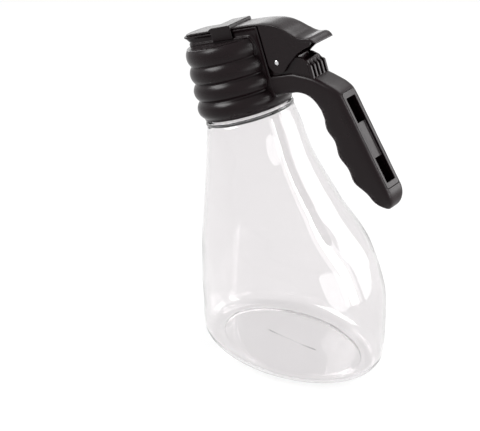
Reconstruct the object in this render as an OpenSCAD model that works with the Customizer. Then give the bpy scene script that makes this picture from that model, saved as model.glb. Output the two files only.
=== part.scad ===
// Sauce dispenser: a clear teardrop bottle with a ribbed screw collar, a
// one-hand grip and a spring-closed lid that the thumb flips up.
// +X runs from the spout back to the grip, +Z is up, and the table is z = 0.
// Cap pieces are drawn upright about the neck's axis and tilted in one go.

/* [Bottle] */
// Length of the belly, front to back
belly_len = 143; // [130:1:156]
// Width of the belly, side to side
belly_wid = 109; // [98:1:118]
// Height of the collar's lower rim on the neck's axis
rim_h = 177; // [168:1:190]
// How far the neck stands in front of the belly's middle
neck_lean = 41; // [34:1:46]
// Thickness of the bottle's wall
bottle_wall = 2.2; // [1.6:0.1:3]
// Radius of the rounded edge round the base
base_corner = 12; // [8:1:16]
// How far the middle of the base is pushed up
push_up = 2.2; // [1.5:0.1:3.5]
// Forward tilt of the neck and the whole cap, in degrees
neck_tilt = 20.3; // [15:0.1:24]

/* [Neck] */
// Outer diameter of the neck
neck_d = 50; // [46:0.5:51]
// Thickness of the neck's wall
neck_wall = 3; // [2.2:0.1:4]
// Height of the mouth above the collar's lower rim
neck_top = 26; // [22:0.5:28]
// Diameter of the clear bead below the collar
bead_d = 63; // [60:0.5:65]
// Thickness of the gasket on the mouth
gasket_t = 1.8; // [1.2:0.1:2.4]

/* [Collar] */
// Diameter over the lowest rib
rib_d_low = 68.4; // [64:0.2:70]
// Diameter over the highest rib
rib_d_top = 63.6; // [60:0.2:66]
// Number of ribs
rib_count = 4; // [3:1:5]
// Height of one rib
rib_pitch = 12.1; // [11.4:0.1:12.4]
// How much of the wall is left at the creases between the ribs, as a share
crease_share = 0.58; // [0.45:0.01:0.8]
// Height of the plain band below the ribs
rim_band = 1.5; // [1:0.1:3]
// Gap round the neck for the screw thread
thread_gap = 1.8; // [1.6:0.1:2]

/* [Spout and grip] */
// Width over the spout deck, the yoke and the hinge cheeks
frame_w = 20.5; // [19:0.1:23]
// Height of the spout deck above the collar
deck_h = 6.8; // [6.5:0.1:10]
// Width of the pouring channel
channel_w = 13; // [9:0.5:14]
// Reach of the spout lip in front of the neck's axis
lip_reach = 35.9; // [34:0.1:37]
// Width of the grip
grip_w = 20; // [18:0.5:22]
// Depth of the grip at the first finger
grip_depth = 25; // [22:0.2:26]
// Length of the grip's back, shoulder to tip
grip_len = 86; // [80:1:90]
// Spacing of the finger bumps
finger_pitch = 20; // [18:0.5:22]
// Height of the finger bumps
finger_bump = 1.1; // [0.4:0.1:1.6]
// Length of each slot in the grip's back
slot_len = 17.6; // [14:0.2:19]
// Width of each slot in the grip's back
slot_w = 9.4; // [7:0.2:10]
// Depth of the recess that runs from slot to slot
label_deep = 1.6; // [1:0.1:2]

/* [Lid] */
// Distance of the hinge pin behind the neck's axis
pin_x = 44.2; // [43.6:0.1:45.4]
// Height of the hinge pin above the collar's lower rim
pin_h = 30.6; // [30:0.1:32]
// Diameter of the hinge pin
pin_d = 3.2; // [2.6:0.1:4]
// Radius of the round end of the cheeks
cheek_r = 7.7; // [7:0.1:7.9]
// Thickness of the cheeks
cheek_t = 2; // [1.6:0.1:2.4]
// Thickness of the lid's plate
lid_t = 1.8; // [1.4:0.1:2.4]
// Width of the thumb tab
tab_w = 21.4; // [20:0.2:24]
// Height of the band across the lid
band_h = 1.8; // [1.2:0.1:3]
// Diameter of the spring's wire
wire_d = 1; // [0.7:0.05:1.1]
// Radius of the spring's coil, to the middle of its wire
coil_r = 3.3; // [3:0.1:3.6]

/* [Hidden] */

$fn = 96;
plastic = "#1c1b1d";
run_gap = 0.3;
slip_gap = 0.1;
eps = 0.01;

// The origin is under the middle of the whole length, so the belly's
// middle lies this far behind it
belly_x = 6.51;
neck_x = belly_x - neck_lean;

// Heights and radii of the cap, measured along and from the neck's axis
bore_r = neck_d / 2 + thread_gap;
upper_bore_r = neck_d / 2 + 0.5;
rib_top = rim_band + rib_count * rib_pitch;
deck_low = rib_top;
deck_top = deck_low + deck_h;
plug_t = 2.6;
plug_low = rib_top - plug_t + 0.5;
plug_r = bore_r - 2 * slip_gap;
seat_gap = 0.05;
flange_low = neck_top + gasket_t + seat_gap;
flange_t = 2;
funnel_r = neck_d / 2 - neck_wall;
funnel_wall = 2;
yoke_in = bore_r + 1.2;
yoke_back = pin_x - cheek_r - 1;
half_w = frame_w / 2;
block_w = frame_w - 2 * cheek_t - 2 * run_gap;
arm_low = 8;
yoke_low = arm_low - 0.5;
arm_top = pin_h - cheek_r - 2 * run_gap;
nose_r = half_w - 0.05;
rim_t = 1.4;
rim_out = 0.5;
channel_back = 8;
channel_front = 2.8 - lip_reach;
port_front = -20;

// Smooth curve through the points of a table of [x, value] pairs
function last(t) = len(t) - 1;
function part_of(t, x, i = 0) = i >= last(t) - 1 || x < t[i + 1][0] ? i : part_of(t, x, i + 1);
function rise(t, i) = (t[i + 1][1] - t[i][1]) / (t[i + 1][0] - t[i][0]);
function slope(t, i) =
    i == 0 ? rise(t, 0) :
    i == last(t) ? rise(t, i - 1) :
    rise(t, i - 1) * rise(t, i) <= 0 ? 0 :
    2 * rise(t, i - 1) * rise(t, i) / (rise(t, i - 1) + rise(t, i));
function blend(u, a, b, ma, mb) =
    (2 * u * u * u - 3 * u * u + 1) * a + (u * u * u - 2 * u * u + u) * ma
    + (3 * u * u - 2 * u * u * u) * b + (u * u * u - u * u) * mb;
function curve(t, x) =
    let (i = part_of(t, x), w = t[i + 1][0] - t[i][0])
    blend((x - t[i][0]) / w, t[i][1], t[i + 1][1], slope(t, i) * w, slope(t, i + 1) * w);
function ease(u) = u <= 0 ? 0 : u >= 1 ? 1 : u * u * (3 - 2 * u);
function pow_sign(v, e) = v < 0 ? -pow(-v, e) : pow(v, e);

// A closed skin over a row of rings that all have the same number of points.
// The rings run clockwise seen from the last ring; anticlockwise ones are
// passed through turned() first
module loft(rings) {
    n = len(rings[0]);
    m = len(rings);
    sides = [for (i = [0:m - 2]) for (j = [0:n - 1]) let (k = (j + 1) % n)
        each [[i * n + j, i * n + k, (i + 1) * n + k], [i * n + j, (i + 1) * n + k, (i + 1) * n + j]]];
    low = [[for (j = [n - 1:-1:0]) j]];
    high = [[for (j = [0:n - 1]) (m - 1) * n + j]];
    polyhedron([for (r = rings) each r], concat(sides, low, high), convexity = 6);
}
function turned(rings) = [for (r = rings) [for (j = [len(r) - 1:-1:0]) r[j]]];

// Everything drawn inside stands on the neck's tilted axis
module on_neck() {
    translate([neck_x, 0, rim_h]) rotate([0, -neck_tilt, 0]) children();
}

// A flat outline in the plane of symmetry, given width w across it
module slab(points, w) {
    rotate([90, 0, 0]) translate([0, 0, -w / 2]) linear_extrude(w) polygon(points);
}

// Bottle: fullness of the belly from the base (0) to the neck (1)
length_curve = [[0, 0.99], [0.14, 1], [0.29, 0.985], [0.46, 0.83], [0.63, 0.48], [0.81, 0.19],
    [0.93, 0.075], [1, 0]];
width_curve = [[0, 0.85], [0.14, 0.9], [0.29, 1], [0.46, 0.95], [0.63, 0.61], [0.81, 0.28],
    [0.93, 0.12], [1, 0]];
shoulder_drop = 4;
shoulder_r = bead_d / 2 - 0.6;
bead_low = 6;
bead_top = 1.2;
lip_soft = 0.8;
neck_throat = shoulder_r - bottle_wall - 1.5;
top_x = neck_x + shoulder_drop * sin(neck_tilt);
top_z = rim_h - shoulder_drop * cos(neck_tilt);

function belly_ring(z, inset, n) =
    let (s = z / top_z,
        full = curve(length_curve, max(s, 0)),
        wide = curve(width_curve, max(s, 0)),
        a = shoulder_r + (belly_len / 2 - shoulder_r) * full - inset,
        b = shoulder_r + (belly_wid / 2 - shoulder_r) * wide - inset,
        x = top_x + (belly_x - top_x) * full,
        tilt = neck_tilt * ease((s - 0.23) / 0.77))
    [for (j = [0:n - 1]) let (t = 360 * j / n)
        [x + a * cos(t) * cos(tilt), b * sin(t), z + a * cos(t) * sin(tilt)]];

// How far the wall draws in at height z because of the rounded base edge
function corner_inset(z, r) = z >= r ? 0 : r - sqrt(max(0, r * r - (r - z) * (r - z)));

outer_z = concat([-0.5], [for (u = [0:5]) base_corner * (1 - cos(15 * u)) * 0.98 + 0.02],
    [for (i = [1:23]) base_corner + (top_z - base_corner) * pow(i / 23, 0.97)]);
floor_z = push_up + bottle_wall + 0.4;
inner_corner = base_corner - bottle_wall;
inner_z = concat([for (u = [0:4]) floor_z + inner_corner * (1 - cos(18 * u))],
    [for (i = [1:18]) let (z0 = floor_z + inner_corner) z0 + (top_z - z0) * i / 18]);

module push_up_dome() {
    rings = [for (u = [0, 0.3, 0.6, 0.85, 1])
        [for (p = belly_ring(0, base_corner * 1.35 + 26 * u, 48))
            [p[0], p[1], push_up * sin(90 * u) - 0.3 * (1 - u)]]];
    loft(turned(rings));
}

module bottle() {
    color([0.93, 0.95, 0.96, 0.4]) difference() {
        union() {
            loft(turned([for (z = outer_z) belly_ring(z, corner_inset(z, base_corner), 56)]));
            on_neck() rotate_extrude() polygon([
                [0, -bead_low], [bead_d / 2 - 2, -bead_low], [bead_d / 2, 1.4 - bead_low], [bead_d / 2, -2.2],
                [bead_d / 2 - 0.9, -bead_top], [neck_d / 2, -bead_top], [neck_d / 2, neck_top - lip_soft],
                [neck_d / 2 - lip_soft, neck_top], [0, neck_top]]);
        }
        loft(turned([for (z = inner_z)
            belly_ring(z, bottle_wall + corner_inset(z - floor_z, inner_corner), 48)]));
        on_neck() rotate_extrude() polygon([
            [0, -2 * bead_low], [neck_throat, -2 * bead_low], [neck_throat, -bead_low - 0.5],
            [neck_d / 2 - neck_wall, -3 * bead_top], [neck_d / 2 - neck_wall, neck_top + 1],
            [0, neck_top + 1]]);
        push_up_dome();
        translate([-belly_len, -belly_wid, -base_corner]) cube([2 * belly_len, 2 * belly_wid, base_corner]);
    }
}

module neck_gasket() {
    color("#d8d8d4") on_neck() translate([0, 0, neck_top]) difference() {
        cylinder(h = gasket_t, r = upper_bore_r - 0.3);
        translate([0, 0, -1]) cylinder(h = gasket_t + 2, r = neck_d / 2 - neck_wall);
    }
}

// Collar: each rib bulges between two sharp creases, and the ribs grow
// wider from the top down
function rib_r(i) = (rib_d_low + (rib_d_top - rib_d_low) * i / (rib_count - 1)) / 2;
function crease_r(i) = bore_r + crease_share * (rib_r(i) - bore_r);
rib_steps = 10;
rib_side = [for (i = [0:rib_count - 1]) for (k = [0:rib_steps - 1])
    let (u = 2 * k / rib_steps - 1)
    [rib_r(i) - (rib_r(i) - crease_r(i)) * pow(abs(u), 2.2), rim_band + rib_pitch * (i + k / rib_steps)]];

module grip_collar() {
    color(plastic) on_neck() difference() {
        rotate_extrude() polygon(concat(
            [[bore_r, 0], [crease_r(0), 0]],
            rib_side,
            [[crease_r(rib_count - 1), rib_top], [bore_r, rib_top], [bore_r, plug_low],
                [upper_bore_r, plug_low], [upper_bore_r, neck_top - 1], [bore_r, neck_top - 1]]));
        translate([yoke_in - slip_gap, -half_w - slip_gap, yoke_low])
            cube([rib_d_low, frame_w + 2 * slip_gap, deck_top]);
    }
}

// Grip: its back is a straight line from the shoulder, leaning outwards
// from the neck's axis; s is measured down that line
back_x = 86.8;
back_h = 8;
back_lean = 13.9;
function back_pt(s, inward) = [
    back_x + s * sin(back_lean) - inward * cos(back_lean),
    back_h - s * cos(back_lean) - inward * sin(back_lean)];
tip_round = 12;
tip_depth = 9.4;
first_bump = 21;
taper = [[0, 0.93], [14, 0.97], [24, 1.01], [46, 1.03], [58, 0.98], [68, 0.86], [78, 0.66], [90, 0.42]];
function grip_end(s) = s <= grip_len - tip_round ? 1
    : sqrt(max(0.02, 1 - pow((s - grip_len + tip_round) / tip_round, 2)));
function grip_full(s) = grip_depth * curve(taper, s)
    + finger_bump * cos(360 * (s - first_bump) / finger_pitch);
function grip_reach(s) = tip_depth + (grip_full(s) - tip_depth) * grip_end(s);
function grip_set(s) = tip_depth * (1 - grip_end(s));

// The arm between the yoke and the grip: lower and upper edge at each
// station, as distance behind the neck's axis and height
arm_lower = [[yoke_in + 1, arm_low + 0.3], [42, arm_low], [51, arm_low + 0.2], [57.2, 7], [62, 4.2],
    [64.9, 0.5], [66.3, -3.4], [66.8, -6.4], [66.9, -9], back_pt(14, grip_reach(14))];
arm_upper = [[yoke_in + 1, arm_top], [42, arm_top], [52, arm_top], [60, 20.4], [68.6, 17.6],
    [76.5, 13.2], [83.4, 8.6], [87.2, 4.4], [88.9, -0.6], back_pt(14, 0)];
arm_wide = [frame_w, frame_w, frame_w, frame_w, frame_w, frame_w, frame_w - 0.2, grip_w, grip_w, grip_w];
function rail(t, c, u) = curve([for (i = [0:last(t)]) [i, t[i][c]]], u);

// One section of the arm or grip: a rounded box between its lower and its
// upper edge, with a fuller, rounder finger side
function section(lo, hi, w, soft, n) = [for (j = [0:n - 1])
    let (t = 360 * (j + 0.5) / n, c = cos(t), s = sin(t),
        e = c > 0 ? 2 / 6 : 2 / soft,
        k = (1 + pow_sign(c, e)) / 2,
        y = w / 2 * pow_sign(s, c > 0 ? 2 / 6 : 2 / soft))
    [lo[0] + (hi[0] - lo[0]) * k, y, lo[1] + (hi[1] - lo[1]) * k]];

grip_sides = 28;
arm_rings = [for (u = [0:0.5:last(arm_lower) - 0.5])
    section([rail(arm_lower, 0, u), rail(arm_lower, 1, u)], [rail(arm_upper, 0, u), rail(arm_upper, 1, u)],
        curve([for (i = [0:last(arm_wide)]) [i, arm_wide[i]]], u) - 0.1,
        5 - 1.6 * ease((u - 3) / 5), grip_sides)];
grip_rings = [for (i = [0:30]) let (f = i / 30, s = 14 + (grip_len - 14) * (1 - pow(1 - f, 1.25)))
    section(back_pt(s, grip_reach(s)), back_pt(s, grip_set(s)),
        (grip_w - 0.1) * (0.3 + 0.7 * grip_end(s)) * (1 - 0.08 * ease((s - 50) / 36)), 3.4, grip_sides)];

// Places children on the grip's back: x outwards, z up along the back
module on_back(s) {
    translate([back_pt(s, 0)[0], 0, back_pt(s, 0)[1]]) rotate([0, -back_lean, 0]) children();
}

cover_w = 14.2;
cover_t = label_deep + 1.8;
cover_in = 0.3;
cover_from = 4;
slot_round = 0.6;
cover_to = grip_len - 13;
hollow_w = 11.6;
slot_1 = 8.4;
slot_2 = cover_to - 4 - slot_len;

module round_bar(w, l, r) {
    translate([r, 0]) square([w - 2 * r, l]);
    translate([0, r]) square([w, l - 2 * r]);
    for (x = [r, w - r]) for (y = [r, l - r]) translate([x, y]) circle(r);
}

// A plate lying on the grip's back, from one depth to another
module back_plate(w, from, to, deep, shallow, r) {
    on_back(to) rotate([90, 0, 90]) translate([-w / 2, 0, -deep])
        linear_extrude(deep - shallow) round_bar(w, to - from, r);
}

module grip_hollow() {
    on_back(0) rotate([90, 0, 0]) translate([0, 0, -hollow_w / 2]) linear_extrude(hollow_w)
        polygon([[-cover_in - cover_t + eps, -cover_from - 1.5], [-cover_in - cover_t + eps, -cover_to + 1.5],
            [-9.5, -cover_to + 1.5], [-12, -cover_to + 8], [-17.4, -cover_to / 2 - 10],
            [-17.4, -cover_from - 12], [-13, -cover_from - 6], [-8, -cover_from - 2]]);
    back_plate(cover_w + 2 * slip_gap, cover_from - slip_gap, cover_to + slip_gap, cover_in + cover_t, -6, 2);
}

module handle_cover() {
    color(plastic) on_neck() difference() {
        back_plate(cover_w, cover_from, cover_to, cover_in + cover_t, cover_in, 2);
        back_plate(slot_w, slot_1, slot_2 + slot_len, cover_in + label_deep, -cover_t, slot_round);
        for (s = [slot_1, slot_2]) back_plate(slot_w, s, s + slot_len, 2 * cover_t, 0, slot_round);
    }
}

// Hinge block: stands on the arm between the cheeks and carries the pin
block_back = 70;
comb_slot = 1.8;
comb_fins = 5;
comb_w = block_w + 1.5;
comb_from = block_back - 2.6;
notch_w = 9.2;
notch_floor = pin_h - coil_r - wire_d / 2 - slip_gap;

module hinge_block() {
    comb_step = (comb_w + comb_slot) / comb_fins;
    comb_low = pin_h - 13.6;
    comb_high = pin_h - 4.4;
    difference() {
        union() {
            slab([[yoke_back - 2, arm_top - 4], [yoke_back - 2, pin_h + 8.5], [yoke_back + 6, pin_h + 7.8],
                [pin_x + 5, pin_h + 5.2], [56, pin_h + 2.8], [62, pin_h + 1.2], [66.4, pin_h - 1.4],
                [comb_from + 1, comb_high], [comb_from + 1, 14], [60, 14]], block_w);
            slab([[comb_from, comb_low - 3], [comb_from, comb_high + 0.4], [block_back - 1.4, comb_high],
                [block_back - 0.4, comb_high - 0.5], [block_back, comb_high - 1.4],
                [block_back, comb_low - 3]], comb_w);
        }
        for (i = [1:comb_fins - 1])
            translate([comb_from - 0.4, -comb_w / 2 + i * comb_step - comb_slot, comb_low])
                cube([2 * comb_slot, comb_slot, pin_h]);
        translate([block_back - 10.5, -block_w / 2 + cheek_t, comb_high - 4])
            cube([6, block_w - 2 * cheek_t, pin_h]);
        translate([yoke_back + 1.4, -notch_w / 2, notch_floor]) cube([56 - yoke_back - 1.4, notch_w, 30]);
        translate([pin_x, 0, pin_h]) rotate([90, 0, 0]) cylinder(h = 40, d = pin_d + 0.1, center = true);
    }
}

module deck_outline(out) {
    translate([-lip_reach + nose_r + 0.05, 0]) circle(nose_r + out);
    translate([-lip_reach + nose_r, -half_w - out])
        square([lip_reach - nose_r + yoke_back, frame_w + 2 * out]);
}

module deck() {
    foot_back = 4.2;
    foot_x = -lip_reach + nose_r + foot_back;
    hull() {
        translate([foot_x, 0, deck_low]) cylinder(h = 0.1, r = nose_r, $fn = 32);
        translate([foot_x - foot_back, 0, deck_top - rim_t]) cylinder(h = 0.1, r = nose_r, $fn = 32);
    }
    translate([foot_x, -half_w, deck_low]) cube([yoke_back - foot_x, frame_w, deck_h]);
    translate([0, 0, deck_top - rim_t]) linear_extrude(rim_t) deck_outline(rim_out);
    translate([foot_x, -half_w - rim_out, deck_low + 0.5]) cube([22 - foot_x, frame_w + 2 * rim_out, 0.9]);
    translate([foot_x, 0, deck_low + 0.5]) cylinder(h = 0.9, r = nose_r + rim_out + 0.05);
}

module pour_frame() {
    color(plastic) on_neck() difference() {
        union() {
            deck();
            translate([0, 0, plug_low]) cylinder(h = plug_t, r = plug_r);
            translate([0, 0, flange_low + flange_t - eps])
                cylinder(h = rib_top - flange_low - flange_t, r = funnel_r + funnel_wall);
            translate([0, 0, flange_low]) cylinder(h = flange_t, r = upper_bore_r - 0.2);
            translate([yoke_in, -half_w, yoke_low]) cube([yoke_back - yoke_in, frame_w, deck_top - arm_low]);
            translate([yoke_back - 1.2, -half_w - rim_out, arm_top])
                cube([1.2, frame_w + 2 * rim_out, deck_top - arm_top]);
            loft(concat(arm_rings, grip_rings));
            hinge_block();
        }
        translate([0, 0, flange_low - 1]) cylinder(h = 9, r = funnel_r);
        translate([0, 0, flange_low + 8 - eps])
            cylinder(h = rib_top - plug_t - flange_low - 8, r1 = funnel_r, r2 = funnel_r - 1);
        slab([[port_front, deck_low - 8], [channel_back, deck_low - 8], [channel_back, deck_top + 2],
            [channel_front, deck_top + 2], [channel_front, deck_top - 1],
            [port_front, deck_low + 0.5]], channel_w);
        translate([channel_back + 3, -half_w + 2.4, deck_low + 2.4])
            cube([yoke_back - channel_back - 5.4, frame_w - 4.8, deck_h]);
        grip_hollow();
    }
}

// Lid: one lever whose plate covers the spout deck and whose tail is the
// thumb tab; the table gives the height of its upper face
lid_low = deck_top + run_gap;
lid_top = lid_low + lid_t;
lid_front = 1.5 - lip_reach;
tab_back = 79.8;
lid_curve = [[lid_front, lid_top - 1], [lid_front + 4, lid_top - 0.5], [-22, lid_top],
    [20, lid_top - 0.1], [36, lid_top - 0.6], [44, lid_top - 1.6], [50, lid_top - 3.3],
    [56, lid_top - 6.2], [62, lid_top - 10.2], [67, lid_top - 13.3], [71, lid_top - 14.6],
    [75, lid_top - 14.9], [78, lid_top - 16.3], [tab_back, lid_top - 18.6]];
lid_thick = [[lid_front, lid_t], [yoke_back, lid_t], [60, 2], [72, 2.4], [77, 2.2], [tab_back, 1.3]];
lid_half = [[-10, half_w], [55, half_w], [72, tab_w / 2], [76, tab_w / 2], [tab_back, tab_w / 2 - 0.8]];
nose_mid = lid_front + half_w;
function lid_b(x) = x >= nose_mid ? curve(lid_half, x)
    : max(1, sqrt(max(0, half_w * half_w - pow(x - nose_mid, 2))));

edge_r = 0.6;
function lid_ring(x) =
    let (b = lid_b(x), top = curve(lid_curve, x),
        low = x < yoke_back + run_gap ? lid_low : top - curve(lid_thick, x))
    concat(
        [for (a = [0, 30, 60, 90]) [x, b - edge_r + edge_r * cos(a), top - edge_r + edge_r * sin(a)]],
        [[x, b / 2, top], [x, -b / 2, top]],
        [for (a = [90, 120, 150, 180]) [x, -b + edge_r + edge_r * cos(a), top - edge_r + edge_r * sin(a)]],
        [for (a = [200, 270]) [x, -b + edge_r / 2 * (1 + cos(a)), low + edge_r / 2 * (1 + sin(a))]],
        [for (a = [270, 340]) [x, b - edge_r / 2 * (1 - cos(a)), low + edge_r / 2 * (1 + sin(a))]]);
lid_from = yoke_back + 2 * run_gap;
lid_xs = concat([for (a = [8:10:88]) nose_mid - half_w * cos(a)],
    [for (x = [nose_mid:6:yoke_back - 2]) x], [yoke_back + run_gap / 2],
    [for (i = [0:18]) lid_from + (tab_back - lid_from) * i / 18]);

band_from = -4;
band_to = 14;
band_out = 1.1;
skirt_low = deck_top - 6;

module lid_band() {
    out = half_w + rim_out + run_gap + band_out;
    top = lid_top + band_h;
    slab([[band_from - 3, lid_top - 0.4], [band_from - 0.6, top - 0.8], [band_from + 1.6, top - 0.2],
        [band_to - 1, top], [band_to - 0.2, top - 0.4], [band_to, lid_top - 1],
        [band_to, lid_low + 0.4], [band_from, lid_low + 0.4]], 2 * out);
    for (side = [-1, 1])
        translate([band_from, side > 0 ? out - band_out : -out, skirt_low])
            cube([band_to - band_from, band_out, lid_low - skirt_low + 0.5]);
}

module cheek() {
    points = [[yoke_back + 1, lid_low - 0.4], [yoke_back + 1, pin_h], [pin_x, pin_h],
        [pin_x + 5.5, pin_h - 5.4], [pin_x + 8.6, pin_h - 2.6], [56.4, 30.4], [60, 32.9], [63.8, 35],
        [68, 36.7], [72.6, 37.8], [75.6, 40], [75, lid_top - 16], [71, lid_top - 16],
        [62, lid_top - 11.4], [56, lid_top - 7.2], [50, lid_top - 4.6], [44, lid_top - 3.3]];
    slab(points, cheek_t);
    translate([pin_x, 0, pin_h]) rotate([90, 0, 0]) cylinder(h = cheek_t, r = cheek_r, center = true);
}

module flip_lid() {
    color(plastic) on_neck() difference() {
        union() {
            loft(turned([for (x = lid_xs) lid_ring(x)]));
            lid_band();
            for (side = [-1, 1]) translate([0, side * (half_w - cheek_t / 2), 0]) cheek();
        }
        translate([pin_x, 0, pin_h]) rotate([90, 0, 0]) cylinder(h = 40, d = pin_d + 0.1, center = true);
    }
}

module lid_seal() {
    seal_w = channel_w - 2 * run_gap;
    seal_t = 2;
    nose_x = channel_front + 2 * seal_t + seal_w / 2;
    color("#5a5a5c") on_neck() translate([0, 0, deck_top - seal_t]) linear_extrude(seal_t + run_gap) {
        translate([nose_x, -seal_w / 2]) square([channel_back - seal_t - nose_x, seal_w]);
        translate([nose_x, 0]) circle(d = seal_w);
    }
}

module hinge_pin() {
    color("silver") on_neck() translate([pin_x, 0, pin_h]) rotate([90, 0, 0]) {
        cylinder(h = frame_w, d = pin_d, center = true);
        for (side = [0, 1]) mirror([0, 0, side]) translate([0, 0, frame_w / 2 - eps])
            cylinder(h = 0.35, d1 = pin_d, d2 = pin_d - 0.9);
    }
}

// Spring: a coil round the pin with one leg lying on the notch's floor and
// one pressing up under the lid
coil_turns = 4;
coil_step = 1.5;
leg_angle = 146;
steps_per_turn = 8;
coil_angle = 270 - leg_angle + coil_turns * 360;
coil_rings = ceil(coil_angle / 360 * steps_per_turn);
coil_len = coil_angle / 360 * coil_step;
function coil_pt(f) = let (a = -90 - f * coil_angle)
    [pin_x + coil_r * cos(a), -coil_len / 2 + f * coil_len, pin_h + coil_r * sin(a)];
leg_low = 9;
leg_up = 22.2;
spring_path = concat(
    [coil_pt(0) + [leg_low, 0, 0], coil_pt(0) + [leg_low / 2, 0, 0]],
    [for (i = [0:coil_rings]) coil_pt(i / coil_rings)],
    [for (f = [0.25, 0.5, 1]) coil_pt(1) + leg_up * f * [sin(leg_angle), 0, -cos(leg_angle)]]);

// A tube with wire_sides flats along a path that never runs sideways
wire_sides = 6;
function unit(v) = v / norm(v);
function heading(p, i) = unit(p[min(i + 1, last(p))] - p[max(i - 1, 0)]);
function wire_ring(p, i) =
    let (d = heading(p, i), u = unit(cross([0, 1, 0], d)), v = cross(d, u))
    [for (k = [0:wire_sides - 1]) p[i] + wire_d / 2 * (cos(60 * k) * u + sin(60 * k) * v)];

spring_skin = [for (i = [0:last(spring_path)]) wire_ring(spring_path, i)];
clear_rings = 6;
self_gap = min([for (i = [0:last(spring_path) - clear_rings]) for (j = [i + clear_rings:last(spring_path)])
    for (a = spring_skin[i]) for (b = spring_skin[j]) norm(a - b)]);
echo(least_gap_in_the_spring = self_gap);

module return_spring() {
    color("silver") on_neck() loft(turned(spring_skin));
}

bottle();
neck_gasket();
grip_collar();
pour_frame();
handle_cover();
flip_lid();
lid_seal();
hinge_pin();
return_spring();
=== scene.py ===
# %% [markdown]
# # A one-hand sauce dispenser
# The object is a clear teardrop bottle under a black cap. The cap is a ribbed
# screw collar, a spout deck under a hinged lid, and a grip for one hand.
# Sizes repeat those of the CAD drawing and are in its millimetres; helpers turn
# them into Blender's metres, so a reader can set them against the drawing.

# %% Load the frame
import math

import bmesh
import bpy
from mathutils import Matrix, Vector


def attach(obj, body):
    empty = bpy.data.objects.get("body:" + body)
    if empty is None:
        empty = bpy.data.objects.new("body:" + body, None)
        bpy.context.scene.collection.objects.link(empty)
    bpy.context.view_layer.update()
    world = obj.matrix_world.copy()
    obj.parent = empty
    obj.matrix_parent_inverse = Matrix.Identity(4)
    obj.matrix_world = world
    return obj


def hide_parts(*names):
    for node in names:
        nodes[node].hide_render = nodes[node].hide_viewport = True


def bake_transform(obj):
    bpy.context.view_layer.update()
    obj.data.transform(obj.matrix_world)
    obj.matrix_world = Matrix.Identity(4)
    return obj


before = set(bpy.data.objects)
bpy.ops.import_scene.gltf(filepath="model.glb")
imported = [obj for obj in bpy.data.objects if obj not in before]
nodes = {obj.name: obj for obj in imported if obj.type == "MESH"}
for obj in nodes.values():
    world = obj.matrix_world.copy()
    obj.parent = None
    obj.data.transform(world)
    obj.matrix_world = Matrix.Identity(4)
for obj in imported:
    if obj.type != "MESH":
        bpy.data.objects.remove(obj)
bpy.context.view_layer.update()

# %% [markdown]
# ## Two frames of reference
# The bottle stands on the table, but its neck leans forward, and the whole cap
# is square to that leaning neck. Each cap piece is drawn upright round the
# neck's axis, as a maker draws it, and tilted by one matrix.

# %% Places shared with the CAD model
MM = 0.001
NECK_X, RIM_H = -34.49, 177.0
NECK_TILT = math.radians(20.3)
COS_T, SIN_T = math.cos(NECK_TILT), math.sin(NECK_TILT)
PIN_X, PIN_H, PIN_R = 44.2, 30.6, 1.6


def table_point(x, y, z):
    """Millimetres in the table's frame to metres."""
    return Vector((x, y, z)) * MM


def neck_point(r, y, h):
    """r behind the neck's axis, y across, h up the axis, in mm, to metres."""
    return table_point(NECK_X + r * COS_T - h * SIN_T, y, RIM_H + r * SIN_T + h * COS_T)


NECK_MATRIX = (Matrix.Translation(neck_point(0, 0, 0)) @ Matrix.Rotation(-NECK_TILT, 4, "Y")
               @ Matrix.Scale(MM, 4))
print("hinge pin at", [round(1000 * v, 2) for v in neck_point(PIN_X, 0, PIN_H)])

# %% [markdown]
# ## The camera
# The photograph was taken with a long lens from behind the grip's side and
# above. The camera stands where the outline of the bottle says it stood. The
# picture is 480 pixels wide, so a focal length in pixels becomes a lens in mm
# through the 36 mm sensor.

# %% Camera
PICTURE_W, FOCAL_PX = 480, 1430.0
AZIMUTH, ELEVATION = math.radians(37.95), math.radians(28.47)
CAMERA_PLACE = (515.25, -714.66, 581.19)


def in_scene(name, data):
    """An object with that data, linked to the scene."""
    made = bpy.data.objects.new(name, data)
    bpy.context.scene.collection.objects.link(made)
    return made


def look_along(thing, way):
    """Turns a camera or a lamp so that it faces along way."""
    thing.rotation_mode = "QUATERNION"
    thing.rotation_quaternion = way.to_track_quat("-Z", "Y")


camera = in_scene("photo_camera", bpy.data.cameras.new("photo_camera"))
camera.data.sensor_width = 36.0
camera.data.lens = FOCAL_PX * camera.data.sensor_width / PICTURE_W
camera.data.clip_start, camera.data.clip_end = 0.05, 20.0
camera.location = table_point(*CAMERA_PLACE)
LEVEL = math.cos(ELEVATION)
back = Vector((math.sin(AZIMUTH) * LEVEL, -math.cos(AZIMUTH) * LEVEL, math.sin(ELEVATION)))
look_along(camera, -back)
bpy.context.scene.camera = camera
print("lens", round(camera.data.lens, 2), "mm")

# %% [markdown]
# ## Skins over rings
# Most pieces are skins over rows of rings: a bottle, a collar and a grip are
# all made so. A skin made from named sizes stays smooth and is easy to change,
# where a subdivided cube would need hand work.


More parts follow.
